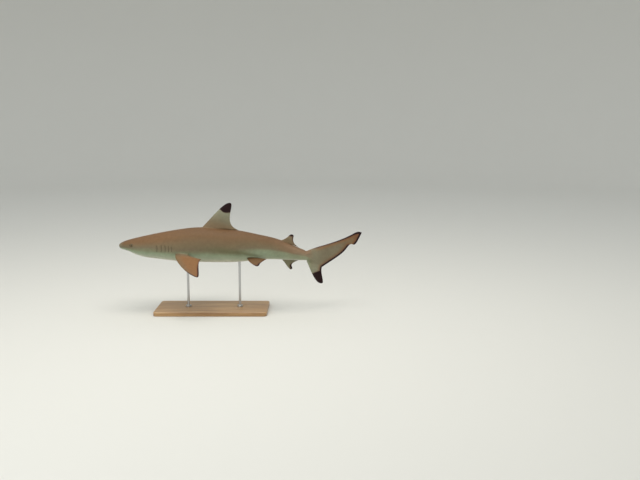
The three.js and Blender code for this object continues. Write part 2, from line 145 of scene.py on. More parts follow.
def body_point(x, angle):
    """A point of the left side: angle 0 is the back's midline and pi the belly's."""
    x = max(x, 0.0)
    across, along = abs(math.sin(angle)), math.cos(angle)
    middle, upper, lower = halves(x, back(x), belly(x))
    reach, squareness = upper if along >= 0 else lower
    power = 2 / squareness
    height = math.copysign(reach * abs(along) ** power, along)
    return Vector((x, -flank(x) * across**power, middle + height))


# ---------------------------------------------------------------- mouth and gills on the body
# The mouth is a wide arch under the head, and five gill slits stand in a row before the pectoral
# fin. The rings of the skin bend to follow both, so each lip is one clean line of the mesh.

MOUTH_STATION = 136  # the ring that the mouth follows, where it meets the side of the head
MOUTH_REACH = 74  # how far that ring runs forward to the middle of the mouth
MOUTH_PULL_END = 215  # rings behind this one run straight round the body
MOUTH_SPREAD = math.radians(110.4)  # the angle round the body where the ring starts to run forward
MOUTH_CORNER = math.radians(130.5)
MOUTH_DEPTH = 5.5
MOUTH_RINGS = (-5, -3.4, -2.2, -1.3, -0.7, -0.3, 0, 0.35, 0.8, 1.5, 2.4, 3.8, 5.5)
MOUTH_WINDOW = 40  # lips and jaw end this far from the mouth's ring
UPPER_LIP = {"height": 0.7, "middle": -1.8, "fade": 2.5, "groove": 0.75}
LOWER_LIP = {"height": 0.5, "middle": 2.6, "fade": 2.0, "groove": 1.1}
JAW_INSET, JAW_FADE = 1.3, 14  # the jaw sits this far in at the lip, and less behind it

GILL_STATIONS = (197, 219, 238, 255, 270)
GILL_TOPS = (97, 98, 97, 95, 91)
GILL_HEIGHTS = (40, 41, 40, 37, 32)
GILL_BOW = 3.5
GILL_DEPTH, GILL_GROOVE = 3.2, 1.3
GILL_FLAP, GILL_FLAP_FADE = 1.1, 5.0  # the skin rises to the slit's front edge
GILL_RINGS = (-4.5, -3.2, -2.2, -1.4, -0.8, -0.35, 0, 0.3, 0.7, 1.2, 1.9, 3, 4.4)
GILL_WINDOW = 14

PIT_STATION, PIT_DEPTH, PIT_WIDTH = 930, 1.8, 3.2  # the notch across the back before the tail fin
EYE_STATION, EYE_HEIGHT = 72, 91
EYE_SWELL, EYE_SWELL_REACH = 1.1, 17

mouth_shift = smooth_through(((0, 0), (60, 24), (MOUTH_STATION, MOUTH_REACH), (178, 38),
                              (MOUTH_PULL_END, 0)))


def ease(low, high, value):
    """0 below low, 1 above high and a smooth step between."""
    t = min(1.0, max(0.0, (value - low) / (high - low)))
    return t * t * (3 - 2 * t)


def bell(value, middle, width):
    """1 at the middle, falling smoothly to nearly 0 at two widths from it."""
    away = (value - middle) / width
    return math.exp(-away * away)


def mouth_pull(station, angle):
    """How far a ring is drawn forward under the head."""
    if station >= MOUTH_PULL_END or angle <= MOUTH_SPREAD:
        return 0.0
    share = min(1.0, math.sin(angle) / math.sin(MOUTH_SPREAD))
    return max(0.0, mouth_shift(station)) * (1 - share * share) ** 1.5


def gill_middle(station):
    """The middle height and half height of the slits near this station."""
    top = lines_through(tuple(zip(GILL_STATIONS, GILL_TOPS)))(station)
    height = lines_through(tuple(zip(GILL_STATIONS, GILL_HEIGHTS)))(station)
    return top - height / 2, height / 2


def gill_bow(station, angle):
    """How far a ring bows back between the ends of the gill slits."""
    envelope = ease(180, 196, station) * (1 - ease(272, 290, station))
    if envelope == 0:
        return 0.0
    middle, half = gill_middle(station)
    share = (body_point(station, angle).z - middle) / half
    return envelope * GILL_BOW * math.exp(-1.2 * share * share)


def relief(station, angle):
    """Height of lips, jaw and gill flaps over the plain surface, and how much painted shade its crease
    gets.
    """
    lift, crease = 0.0, 0.0
    along_mouth = ease(MOUTH_CORNER - 0.05, MOUTH_CORNER + 0.10, angle)
    behind = station - MOUTH_STATION
    if along_mouth > 0 and abs(behind) < MOUTH_WINDOW:
        lip = UPPER_LIP if behind < 0 else LOWER_LIP
        groove = bell(behind, 0, lip["groove"])
        swell = lip["height"] * math.exp(-abs(behind - lip["middle"]) / lip["fade"])
        jaw = JAW_INSET * math.exp(-behind / JAW_FADE) if behind > 0 else 0.0
        lift += along_mouth * (swell - MOUTH_DEPTH * groove - jaw)
        # painted shade: the skin is darkened along the mouth's groove, where shade falls
        crease = max(crease, along_mouth * groove)
    for slit in GILL_STATIONS:
        behind = station - slit
        if abs(behind) > GILL_WINDOW:
            continue
        middle, half = gill_middle(slit)
        open_here = 1 - ease(0.72, 1.05, abs(body_point(station, angle).z - middle) / half)
        flap = GILL_FLAP * math.exp(behind / GILL_FLAP_FADE) if behind <= 0 else 0.0
        groove = math.exp(-behind / GILL_GROOVE) if behind > 0.2 else 0.0
        lift += open_here * (flap - GILL_DEPTH * groove)
        # painted shade: the skin is darkened inside each gill slit
        crease = max(crease, open_here * bell(behind, 0.5, 0.8))
    if abs(station - EYE_STATION) < 3 * EYE_SWELL_REACH:
        lift += eye_swell(station, body_point(station, angle).z)
    if abs(station - PIT_STATION) < 4 * PIT_WIDTH:
        pit = bell(station, PIT_STATION, PIT_WIDTH) * (1 - ease(0.25, 0.8, angle))
        lift -= PIT_DEPTH * pit
        # painted shade: the notch before the tail fin is darkened a little
        crease = max(crease, 0.35 * pit)
    return lift, crease


def eye_swell(x, z):
    """The skin swells a little round the eye."""
    return EYE_SWELL * bell(math.hypot(x - EYE_STATION, z - EYE_HEIGHT), 0, EYE_SWELL_REACH)


def bent_point(station, angle):
    x = station - mouth_pull(station, angle) + gill_bow(station, angle)
    return body_point(x, angle)


def surface_normal(station, angle):
    """The outward normal of the plain surface."""
    before, behind = max(0.01, station - 0.4), station + 0.4
    above, below = max(0.0, angle - 0.02), min(math.pi, angle + 0.02)
    along = bent_point(behind, angle) - bent_point(before, angle)
    around = bent_point(station, below) - bent_point(station, above)
    normal = around.cross(along)
    if normal.length < 1e-9:
        return Vector((-1, 0, 0))
    normal.normalize()
    if angle in (0.0, math.pi):
        normal.y = 0
    return normal


# ---------------------------------------------------------------- the tail fin's outline
# The upper lobe carries the spine and ends in a notched flag; the lower lobe is a short pointed
# blade. Both are one thin web, thick along the spine and at the leading edges.

FIN_EDGE = 0.4
CAUDAL_FORK = 1013
FORK_HEIGHT = -27
CAUDAL_BACK = ((PEDUNCLE_END, 55), (962, 65), (1034, 88), (1117, 117), (1165, 140), (1200, 152),
               (TOTAL_LENGTH, 148))
CAUDAL_ROOT = ((PEDUNCLE_END, 8), (CAUDAL_FORK, FORK_HEIGHT))
CAUDAL_MARGIN = ((CAUDAL_FORK, FORK_HEIGHT), (1046, -4.5), (1106, 37.5), (1133, 64), (1149, 84),
                 (1160, 90), (1175, 87), (1187, 99), (TOTAL_LENGTH, 148))
CAUDAL_FLANK = ((PEDUNCLE_END, 17), (975, 11), (1030, 7.5), (1110, 4.5), (1190, 2.4),
                (TOTAL_LENGTH, 1))
LOWER_LOBE_LEAD = ((930, 12), (950, -13), (973, -117), (1013, -110))
LOWER_LOBE_TRAIL = ((CAUDAL_FORK, FORK_HEIGHT), (1003, -57), (1029, -108), (1013, -110))
LOWER_LOBE_THICKNESS = 6.5
LOWER_LOBE_START = 0.08  # share of its leading edge that lies inside the tail's stalk
LOBE_FADE = 80  # the lobe's own thickness fades out this far above the fork

COLUMNS = 56  # of the skin's grid, from the back's midline to the belly's
FORK_COLUMN = 34  # the column that runs to the fork; the ones below it form the lower lobe

caudal_back = smooth_through(CAUDAL_BACK)
caudal_root = lines_through(CAUDAL_ROOT)
caudal_margin = smooth_through(CAUDAL_MARGIN)
caudal_flank = smooth_through(CAUDAL_FLANK)


def cubic(points, t):
    """A point of a cubic curve."""
    s = 1 - t
    weights = (s**3, 3 * s * s * t, 3 * s * t * t, t**3)
    return Vector([sum(w * p[axis] for w, p in zip(weights, points)) for axis in (0, 1)])


def foil(u):
    """Half the thickness of a fin section over its chord: round in front and thin behind."""
    return 2.969 * math.sqrt(u) - 1.26 * u - 3.516 * u**2 + 2.843 * u**3 - 1.036 * u**4


def column_shares():
    """How far down the section each column lies where the tail fin begins."""
    top, bottom = back(PEDUNCLE_END), belly(PEDUNCLE_END)
    points = [body_point(PEDUNCLE_END, math.pi * j / COLUMNS) for j in range(COLUMNS + 1)]
    return [(top - p.z) / (top - bottom) for p in points]


SHARES = column_shares()
stalk_height = back(PEDUNCLE_END) - belly(PEDUNCLE_END)
fork_line = lines_through((
    (PEDUNCLE_END, back(PEDUNCLE_END) - SHARES[FORK_COLUMN] * stalk_height), (CAUDAL_FORK, FORK_HEIGHT),
))


def lobe_half_thickness(r, s):
    """Half the thickness of the lower lobe: r runs back to its rear edge, s down to its front edge."""
    v = r + s - 1
    u = min(1.0, max(0.0, (1 - s) / max(1e-6, 1 - v)))
    spine = 1 + LOWER_LOBE_THICKNESS * (1 - max(v, 0)) ** 1.3
    fade = ease(-0.6, 0.05, v) * ease(0, 0.15, r)
    return (spine * foil(u) + FIN_EDGE * (1 - (1 - u) ** 4)) * fade


def caudal_point(station, column):
    """A point of the tail fin's left side. Behind the fork only the upper lobe has columns."""
    top = caudal_back(station)
    half = caudal_flank(station)
    on_rim = column == 0 or column == COLUMNS
    if station > CAUDAL_FORK:
        bottom = caudal_margin(station)
        z = top - (top - bottom) * min(1.0, SHARES[column] / SHARES[FORK_COLUMN])
        closed = on_rim or column >= FORK_COLUMN
        y = 0.0 if closed else max(FIN_EDGE, half_width(top, bottom, half, station, z))
        return Vector((station, -y, z))
    r = (station - PEDUNCLE_END) / (CAUDAL_FORK - PEDUNCLE_END)
    fork_z = fork_line(station)
    if column <= FORK_COLUMN:
        x, z = station, top - (top - fork_z) * SHARES[column] / SHARES[FORK_COLUMN]
        s = (fork_z - z) / LOBE_FADE
    else:
        s = (SHARES[column] - SHARES[FORK_COLUMN]) / (1 - SHARES[FORK_COLUMN])
        lead_share = LOWER_LOBE_START + (1 - LOWER_LOBE_START) * r
        fork, rim = Vector((station, fork_z)), cubic(LOWER_LOBE_LEAD, lead_share)
        last_fork, last_rim = Vector((CAUDAL_FORK, FORK_HEIGHT)), Vector(LOWER_LOBE_LEAD[3])
        bulge = cubic(LOWER_LOBE_TRAIL, s) - last_fork.lerp(last_rim, s)
        x, z = fork.lerp(rim, s) + bulge * r**3
    upper = half_width(top, caudal_root(station), half, station, max(z, caudal_root(station)))
    lobe = lobe_half_thickness(r, s)
    y = (upper**4 + lobe**4) ** 0.25
    closed = on_rim or (station == CAUDAL_FORK and column >= FORK_COLUMN)
    return Vector((x, 0.0 if closed else -max(FIN_EDGE, y), z))


# ---------------------------------------------------------------- the skin's grid
# The left half of the skin is one grid of rings and columns from the back to the belly. Fins, eyes
# and nostrils are grown from openings in it, and a mirror makes the right half.

SNOUT_RINGS = 120  # they crowd towards the snout tip
SNOUT_RINGS_END = 190
BODY_SPACING = (  # a station, and the step between rings from there on: finer at gills and fins
    (SNOUT_RINGS_END, 2.4), (288, 2.7), (360, 4.6), (402, 3.2), (540, 5), (636, 3), (700, 4.6),
    (802, 2.2), (858, 3.6), (PEDUNCLE_END, 2.6), (1003, 0),
)
FORK_RINGS = (1003, 1006, 1008.5, 1010.5, 1012, CAUDAL_FORK, 1014.5, 1016.5)
TIP_SPACING = ((1019, 2.6), (1190, 1.6), (1210, 0))
TIP_RINGS = (1210, 1211.2, TOTAL_LENGTH)
RING_CLEARANCE = 0.9


def spaced(spacing):
    """Evenly spaced rings in each stretch, without the end of the last one."""
    rings = []
    for (start, step), (stop, _) in zip(spacing, spacing[1:]):
        count = round((stop - start) / step)
        rings += [start + (stop - start) * i / count for i in range(count)]
    return rings


def ring_stations():
    rings = [SNOUT_RINGS_END * (i / SNOUT_RINGS) ** 1.5 for i in range(SNOUT_RINGS)]
    rings += spaced(BODY_SPACING)
    followed = [(MOUTH_STATION, MOUTH_RINGS)] + [(slit, GILL_RINGS) for slit in GILL_STATIONS]
    for centre, offsets in followed:
        clear = offsets[-1] + RING_CLEARANCE
        rings = [x for x in rings if abs(x - centre) > clear] + [centre + d for d in offsets]
    rings += [*FORK_RINGS, *spaced(TIP_SPACING), *TIP_RINGS]
    return sorted(rings)


stations = ring_stations()
FORK_RING = stations.index(CAUDAL_FORK)

# Each point of the skin carries marks: its shade, shares of other colours, how far inside the edge
# of a black mark it is, the painted shade of a crease, and its place among fin rays and by the lateral
# line.
MARKS = ("shade", "wedge", "beige", "pale", "warm", "black", "crease", "fin", "ray", "line", "lateral")

skin = bmesh.new()
layers = {name: skin.verts.layers.float.new(name) for name in MARKS}
bmesh.ops.create_grid(skin, x_segments=len(stations) - 1, y_segments=COLUMNS, size=0.5)
grid = {}
for vertex in skin.verts:
    i = round((vertex.co.x + 0.5) * (len(stations) - 1))
    j = round((vertex.co.y + 0.5) * COLUMNS)
    grid[i, j] = vertex
index_of = {vertex: key for key, vertex in grid.items()}
cells = {}
for face in skin.faces:
    keys = [index_of[vertex] for vertex in face.verts]
    cells[min(i for i, j in keys), min(j for i, j in keys)] = face


def set_marks(vertex, marks):
    for name in MARKS:
        vertex[layers[name]] = marks.get(name, 0.0)


def marks_of(vertex):
    return {name: vertex[layers[name]] for name in MARKS}


def mixed(first, second, share):
    return {name: first.get(name, 0) * (1 - share) + second.get(name, 0) * share for name in MARKS}


def open_window(first_ring, last_ring, first_column, last_column):
    """Takes the faces out of a window of the grid, where a fin or an eye grows."""
    faces = [cells[i, j] for i in range(first_ring, last_ring) for j in range(first_column, last_column)]
    bmesh.ops.delete(skin, geom=faces, context="FACES")


# ---------------------------------------------------------------- markings of the body and tail
# A reef shark is brown above and pale below. Behind the pectoral fin a dark wedge runs into a pale
# streak that widens towards the tail, and the tail fin has black edges and a black lower tip.

# Shade runs from 0, the pale belly, to 1, the brown back, and follows the level: the share of the
# body's height above the belly. Head and tail have their own runs of it.
head_shade = lines_through(((0, 0), (0.3, 0.27), (0.36, 0.31), (0.43, 0.34), (0.5, 0.38), (0.6, 0.52),
                            (0.7, 0.68), (1, 1)))
rear_shade = lines_through(((0, 0.02), (0.1, 0.17), (0.2, 0.24), (0.45, 0.29), (0.64, 0.54),
                            (0.78, 0.72), (1, 1)))
wedge_level = lines_through(((400, 0.44), (500, 0.42), (560, 0.385), (620, 0.34), (680, 0.24),
                             (710, 0.19)))
wedge_half = lines_through(((400, 0.05), (520, 0.09), (600, 0.085), (660, 0.07), (720, 0.03)))
wedge_depth = lines_through(((380, 0.0), (520, 0.9), (600, 1.0), (660, 0.8), (725, 0.0)))
LATERAL_LINE = 0.60  # the level at which the lateral line runs
NO_BLACK = -20.0  # the black mark holds the distance in mm inside the edge of the black
NEAR_BLACK = 17.0  # a black mark raised by this turns the skin maroon, but not black

caudal_back_band = lines_through(((950, 0.0), (990, 1.6), (1060, 2.6), (1120, 5), (1170, 7),
                                  (TOTAL_LENGTH, 13)))
CAUDAL_REAR_BAND = 8.0
LOWER_TIP_LINE = ((968, -57), (1009, -44))


def body_marks(station, angle, crease):
    point = body_point(station, angle)
    height = back(station) - belly(station)
    level = (point.z - belly(station)) / height if height > 1 else 0.5
    head, rear = bell(station, 130, 90), ease(540, 700, station)
    nape = 0.3 * bell(station, 170, 110) * ease(0.5, 0.8, level)
    root = 0.2 * ease(760, 900, station) * (1 - ease(0.35, 0.7, level))
    sandy = ease(740, 900, station) * ease(0.40, 0.62, level) * (1 - 0.5 * ease(0.82, 0.96, level))
    tip = 0.45 * (1 - ease(4, 34, station))
    stalk = 0.35 * ease(850, 930, station) * bell(level, 0.56, 0.14)
    return {
        "shade": level + head * (head_shade(level) - level) + rear * (rear_shade(level) - level),
        "wedge": wedge_depth(station) * bell(level, wedge_level(station), wedge_half(station)),
        "beige": sandy,
        "pale": tip + stalk,
        "warm": nape + root,
        "black": NO_BLACK,
        # painted shade of grooves and slits, from relief()
        "crease": crease,
        "line": height * (level - LATERAL_LINE),
        "lateral": ease(285, 340, station) * (1 - ease(880, PEDUNCLE_END, station)),
    }


def distance_above(line, x, z):
    """How far a point lies above a sloping line through two points."""
    (x0, z0), (x1, z1) = line
    length = math.hypot(x1 - x0, z1 - z0)
    return ((z - z0) * (x1 - x0) - (x - x0) * (z1 - z0)) / length


def distance_to(line, here):
    """How far a point lies from a line of many short pieces."""
    nearest = 1e9
    for start, end in zip(line, line[1:]):
        piece = end - start
        share = min(1.0, max(0.0, (here - start).dot(piece) / piece.length_squared))
        nearest = min(nearest, (here - start - share * piece).length)
    return nearest


EDGE_STEPS = 12
lower_front_edge, lower_rear_edge = [
    [cubic(curve, k / EDGE_STEPS) for k in range(EDGE_STEPS + 1)]
    for curve in (LOWER_LOBE_LEAD, LOWER_LOBE_TRAIL)
]
web_edge = [Vector((x, caudal_margin(x))) for x in range(CAUDAL_FORK, 1150, 6)]
flag_edge = [Vector((1177, 86)), Vector((1188, 101)), Vector((TOTAL_LENGTH, 148))]
rear_edges = (lower_rear_edge, web_edge, flag_edge)
back_edge = [Vector((x, caudal_back(x))) for x in range(955, TOTAL_LENGTH + 1, 8)]


def caudal_marks(point):
    here = Vector((point.x, point.z))
    down = distance_to(back_edge, here)
    black = max(caudal_back_band(here.x) - down, -distance_above(LOWER_TIP_LINE, *here))
    inside = min(distance_to(edge, here) for edge in rear_edges) if here.x > 960 else 60.0
    root, tip = 1 - ease(960, 1030, here.x), ease(1080, 1180, here.x)
    near_back = bell(down, 9, 9) * ease(960, 1010, here.x)
    near_rear = bell(inside, 12, 9)
    front = math.exp(-distance_to(lower_front_edge, here) / 5)
    web = (0.15 + 0.4 * (1 - ease(-60, 10, here.y))) * (1 - tip)
    return {
        "shade": 0.58 - 0.17 * ease(0, 26, down) * (1 - 0.6 * tip),
        "warm": min(0.8, 0.3 * tip + 0.6 * near_back + 0.4 * near_rear),
        "pale": min(1.0, web + 0.3 * root + 0.6 * front),
        "black": max(NO_BLACK + NEAR_BLACK * ease(1110, 1190, here.x), black, CAUDAL_REAR_BAND - inside),
        "fin": ease(950, 1060, here.x),
        "ray": 0.66 * here.x + 0.75 * here.y,
    }


for (i, j), vertex in grid.items():
    station = stations[i]
    if station <= PEDUNCLE_END:
        angle = math.pi * j / COLUMNS
        lift, crease = relief(station, angle)
        vertex.co = bent_point(station, angle) + lift * surface_normal(station, angle)
        if j in (0, COLUMNS):
            vertex.co.y = 0
        set_marks(vertex, body_marks(station, angle, crease))
    else:
        vertex.co = caudal_point(station, j)
        body = body_marks(PEDUNCLE_END, math.pi * j / COLUMNS, 0.0)
        share = ease(PEDUNCLE_END, PEDUNCLE_END + 45, station)
        set_marks(vertex, mixed(body, caudal_marks(vertex.co), share))

open_window(FORK_RING, len(stations) - 1, FORK_COLUMN, COLUMNS)

# ---------------------------------------------------------------- fins
# Every fin is a thin foil, stiffened by fine horny rays, that grows out of the skin in a short
# fillet. Leading and trailing edges are smooth curves that meet at the tip.

REAR_TIP_SPAN = 0.07
FLARE_SPAN = 0.08
FILLET_STEPS = (0.22, 0.42, 0.6, 0.8, 1.0)
INNER_MARGIN_ROWS = 7

FIRST_DORSAL = {
    "lead": ((412, 170), (480, 240), (525, 297), (554, 297)),
    "trail": ((600, 159.6), (507, 189), (592, 297), (554, 297)), "insertion": (533, 166.2),
    "thickness": 7, "flare": 5, "tip": 1.1, "start": 0.03, "rows": 38, "rays": 95,
}
SECOND_DORSAL = {
    "lead": ((806, 108), (852, 122), (845, 139), (863, 139)),
    "trail": ((897, 73.4), (842, 108), (890, 132), (863, 139)), "insertion": (851, 92.6),
    "thickness": 3.2, "flare": 3, "tip": 0.9, "start": 0.04, "rows": 18, "rays": 45,
}
ANAL = {
    "lead": ((810, 14), (823, 7), (844, -38), (857, -39)),
    "trail": ((894, 6.8), (830, -15), (883, -30), (857, -39)), "insertion": (853, 9.2),
    "thickness": 3.2, "flare": 3, "tip": 0.9, "start": 0.04, "rows": 18, "rays": 45,
}
PECTORAL = {
    "lead": ((0, 0), (-10, 27), (73, 168), (129, 183)),
    "trail": ((130, 36), (105, 50), (146, 181), (129, 183)), "insertion": (62, 4.5),
    "thickness": 7, "flare": 5, "tip": 1.1, "start": 0.045, "rows": 38, "rays": 90,
    "origin": (292, 67, 45), "droop": math.radians(25),
}
PELVIC = {
    "lead": ((0, 0), (-8, 10), (38, 65), (52, 60)),
    "trail": ((95, 5), (47, 47), (70, 51), (52, 60)), "insertion": (46, 0),
    "thickness": 4, "flare": 3, "tip": 0.9, "start": 0.06, "rows": 22, "rays": 50,
    "origin": (644, 36, 24), "droop": math.radians(30),
}


def trailing_point(fin, v):
    """The rear edge at a share v of the span: first the inner margin, then the trailing edge."""
    if v >= REAR_TIP_SPAN:
        return cubic(fin["trail"], (v - REAR_TIP_SPAN) / (1 - REAR_TIP_SPAN))
    return Vector(fin["insertion"]).lerp(Vector(fin["trail"][0]), v / REAR_TIP_SPAN)


def fin_section(fin, u, v):
    """A point of the fin's side as along, out and half thickness, and the chord's length."""
    lead, trail = cubic(fin["lead"], v), trailing_point(fin, v)
    along, out = lead.lerp(trail, u)
    spine = fin["tip"] + fin["thickness"] * (1 - v) ** 1.3 + fin["flare"] * math.exp(-v / FLARE_SPAN)
    thick = 0.0 if u in (0.0, 1.0) else spine * foil(u) + FIN_EDGE * (1 - (1 - u) ** 4)
    thick *= math.sqrt(1 - min(1.0, v) ** 40)
    return along, out, thick, (trail - lead).length


def span_steps(fin):
    """Shares of the span for the rows of a fin, crowding towards the tip."""
    shares = [math.sin(math.pi / 2 * k / fin["rows"]) for k in range(fin["rows"] + 1)]
    return [REAR_TIP_SPAN + (1 - REAR_TIP_SPAN) * share for share in shares]


def nearest_ring(x):
    return min(range(len(stations)), key=lambda i: abs(stations[i] - x))


def way_round(first, last, start, far):
    """The grid's keys across from a column to a far one, back along it, and across again."""
    step = 1 if far > start else -1
    keys = [(first, j) for j in range(start, far, step)] + [(i, far) for i in range(first, last)]
    return keys + [(last, j) for j in range(far, start - step, -step)]


def open_loop(first, last, middle, columns):
    """Opens a window centred on a column and gives the loop of its edge, upper side first."""
    open_window(first, last, middle - columns, middle + columns)
    upper = way_round(first, last, middle, middle - columns)
    lower = way_round(first, last, middle, middle + columns)
    return [grid[key] for key in upper + lower[-2:0:-1]]


def grow(chain, rows, closed=False):
    """Extrudes a chain of edges once for each row; a row holds a point and its marks for each vertex."""
    for row in rows:
        pairs = list(zip(chain, chain[1:])) + ([(chain[-1], chain[0])] if closed else [])
        made = bmesh.ops.extrude_edge_only(skin, edges=[skin.edges.get(pair) for pair in pairs])
        fresh = {item for item in made["geom"] if isinstance(item, bmesh.types.BMVert)}
        around = [[edge.other_vert(vertex) for edge in vertex.link_edges] for vertex in chain]
        chain = [next(vertex for vertex in near if vertex in fresh) for near in around]
        for vertex, (point, marks) in zip(chain, row):
            vertex.co = point
            set_marks(vertex, marks)


def fin_rows(fin, chain, sides, place, onto_body, colour):
    """Rows of a fin over its opening: a curved fillet from the skin, then sections out to the tip."""
    starts = [vertex.co.copy() for vertex in chain]
    bodies = [marks_of(vertex) for vertex in chain]
    root_spans = [fin["start"] * (1 - u**8) for u, side in sides]  # the fillet ends low at the rear

    def at(u, side, v):
        along, out, thick, chord = fin_section(fin, u, v)
        point = place(along, out, side * thick)
        marks = colour(u, v, side, point, chord)
        return point, dict(marks, fin=ease(0.1, 0.7, v), ray=u * fin["rays"])

    rows = []
    for s in FILLET_STEPS:
        row = []
        for start, body, span, (u, side) in zip(starts, bodies, root_spans, sides):
            corner = onto_body(at(u, side, 0)[0])
            end, marks = at(u, side, span)
            point = (1 - s) ** 2 * start + 2 * s * (1 - s) * corner + s * s * end
            row.append((point, dict(mixed(body, marks, ease(0.3, 1, s)), ray=marks["ray"])))
        rows.append(row)
    for k in range(1, INNER_MARGIN_ROWS):
        spans = [span + (REAR_TIP_SPAN - span) * k / INNER_MARGIN_ROWS for span in root_spans]
        rows.append([at(u, side, v) for v, (u, side) in zip(spans, sides)])
    rows += [[at(u, side, v) for u, side in sides] for v in span_steps(fin)]
    return rows


def chord_shares(count):
    return [(1 - math.cos(math.pi * k / count)) / 2 for k in range(count)] + [1.0]


def grow_median_fin(fin, first_x, last_x, columns, rim, colour):
    """A fin on the back (rim 0) or on the belly (rim COLUMNS)."""
    up = 1 if rim == 0 else -1
    first, last = nearest_ring(first_x), nearest_ring(last_x)
    inner = rim + up * columns
    open_window(first, last, min(rim, inner), max(rim, inner))
    chain = [grid[key] for key in way_round(first, last, rim, inner)]
    sides = [(u, 1) for u in chord_shares(len(chain) - 1)]

    def place(along, out, thick):
        return Vector((along, -thick, out))

    def onto_body(point):
        return Vector((point.x, point.y, body_height(point.x, point.y, up)))

    grow(chain, fin_rows(fin, chain, sides, place, onto_body, colour))


def grow_paired_fin(fin, first_x, last_x, middle, columns, colour):
    """The left one of a pair: its opening is a window centred on a column."""
    x0, y0, z0 = fin["origin"]
    chain = open_loop(nearest_ring(x0 + first_x), nearest_ring(x0 + last_x), middle, columns)
    shares = chord_shares(len(chain) // 2)
    sides = [(u, 1) for u in shares] + [(u, -1) for u in shares[-2:0:-1]]
    across, down = math.cos(fin["droop"]), math.sin(fin["droop"])

    def place(along, out, thick):
        sideways, height = out * across + thick * down, thick * across - out * down
        return Vector((x0 + along, -(y0 + sideways), z0 + height))

    def onto_body(point):
        return Vector((point.x, -body_half_width(point.x, point.z), point.z))

    grow(chain, fin_rows(fin, chain, sides, place, onto_body, colour), closed=True)


# ---------------------------------------------------------------- markings of the fins
# The first dorsal fin has a broad black tip over a pale band. The other fins have black tips and
# thin black rear edges, and the paired fins are brown above and pale below.

DORSAL_BLACK_LINE = ((500, 270), (511, 262), (519, 254.5), (530, 249.5), (545, 248.5), (565, 250))
DORSAL_CRISPNESS = 1.3  # the edge of this black is crisper than the others
dorsal_black_line = smooth_through(DORSAL_BLACK_LINE)
SECOND_TIP_LINE = ((838, 135), (870, 128))


def edge_band(u, chord, width):
    """Distance in mm inside a band along the trailing edge."""
    return width - (1 - u) * chord


def first_dorsal_colour(u, v, side, point, chord):
    inside = DORSAL_CRISPNESS * (point.z - dorsal_black_line(min(565, max(500, point.x))))
    band = math.exp(min(0.0, inside) / 45)
    warm = 0.25 * (1 - ease(0.05, 0.35, v))
    front = 0.25 * math.exp(-u * chord / 5)
    pale = ease(0.02, 0.4, v) * min(1.0, 0.2 + 0.8 * band + front)
    return {"shade": 0.47, "pale": pale, "warm": warm, "black": max(NO_BLACK, inside)}


def second_dorsal_colour(u, v, side, point, chord):
    tip = distance_above(SECOND_TIP_LINE, point.x, point.z)
    inside = max(tip, edge_band(u, chord, 3.5 * ease(0.15, 0.5, v)), NO_BLACK)
    return {"shade": 0.58, "pale": 0.25 * ease(0.1, 0.6, v), "warm": 0.1, "black": inside}


def anal_colour(u, v, side, point, chord):
    inside = max(edge_band(u, chord, 9 * ease(0.15, 0.6, v)), 70 * (v - 0.88), NO_BLACK)
    front = 0.5 * math.exp(-u * chord / 4)
    return {"shade": 0.42, "wedge": 0.7, "pale": 0.2 + front, "black": inside}


def paired_colour(length, band, tip, shade, warm):
    """Markings of a paired fin of this length, with a black rear band and tip of these widths."""
    def colour(u, v, side, point, chord):
        inside = edge_band(u, chord, band * ease(0.2, 0.6, v))
        inside = max(inside, 0.45 * (tip * (1.0 if side > 0 else 2.4) - (1 - v) * length), NO_BLACK)
        if v > 0.6:
            inside = max(inside, 0.75 * band * ease(0.6, 0.88, v) - u * chord)
        if side < 0:
            return {"shade": 0.06 + 0.12 * v, "black": inside}
        inside = max(inside, NO_BLACK + NEAR_BLACK * ease(0.78, 0.97, v))
        behind_edge = 0.35 + 0.65 * ease(0.03, 0.4, u)
        return {"shade": shade, "warm": warm * behind_edge * ease(0.0, 0.18, v), "black": inside}

    return colour


grow_median_fin(FIRST_DORSAL, 400, 539, 4, 0, first_dorsal_colour)
grow_median_fin(SECOND_DORSAL, 802, 856, 3, 0, second_dorsal_colour)
grow_median_fin(ANAL, 804, 857, 3, COLUMNS, anal_colour)
grow_paired_fin(PECTORAL, -4, 68, 36, 4, paired_colour(183, 6.0, 9, 0.60, 1.0))
grow_paired_fin(PELVIC, -6, 50, 42, 3, paired_colour(60, 7.5, 8, 0.85, 0.15))

# ---------------------------------------------------------------- eye openings
# A reef shark's eye sits flush in the side of its head, in an oval opening with a thin raised lid.
# The skin turns in behind the lid and closes as a socket round the eyeball.

EYE_HALF_LENGTH, EYE_HALF_HEIGHT = 9.4, 7.5
LID_RAISE = 0.55
LID_SHARES = (0.3, 0.55, 0.74, 0.87, 0.95, 1.0)
SOCKET_ROWS = (  # size beside the rim, and depth under it
    (0.985, 0.2), (0.97, 0.7), (0.97, 1.8), (1.1, 5.0), (1.25, 7.5), (0.9, 13), (0.4, 15.5), (0.0, 16),
)


def side_point(x, z, lift):
    """A point over the left side of the head at a height z."""
    point = Vector((x, -body_half_width(x, z), z))
    along = Vector((x + 0.5, -body_half_width(x + 0.5, z), z)) - point
    up = Vector((x, -body_half_width(x, z + 0.5), z + 0.5)) - point
    return point + lift * along.cross(up).normalized()


def skin_point(x, angle, lift):
    """A point over the left side of the body at an angle round it."""
    along = body_point(x + 0.5, angle) - body_point(x - 0.5, angle)
    around = body_point(x, angle + 0.02) - body_point(x, angle - 0.02)
    return body_point(x, angle) + lift * around.cross(along).normalized()


def section_angle(point):
    """The angle round the body of a point on its skin."""
    middle, upper, lower = halves(point.x, back(point.x), belly(point.x))
    reach, squareness = upper if point.z >= middle else lower
    across = (abs(point.y) / flank(point.x)) ** (squareness / 2)
    along = (abs(point.z - middle) / reach) ** (squareness / 2)
    return math.atan2(across, math.copysign(along, point.z - middle))


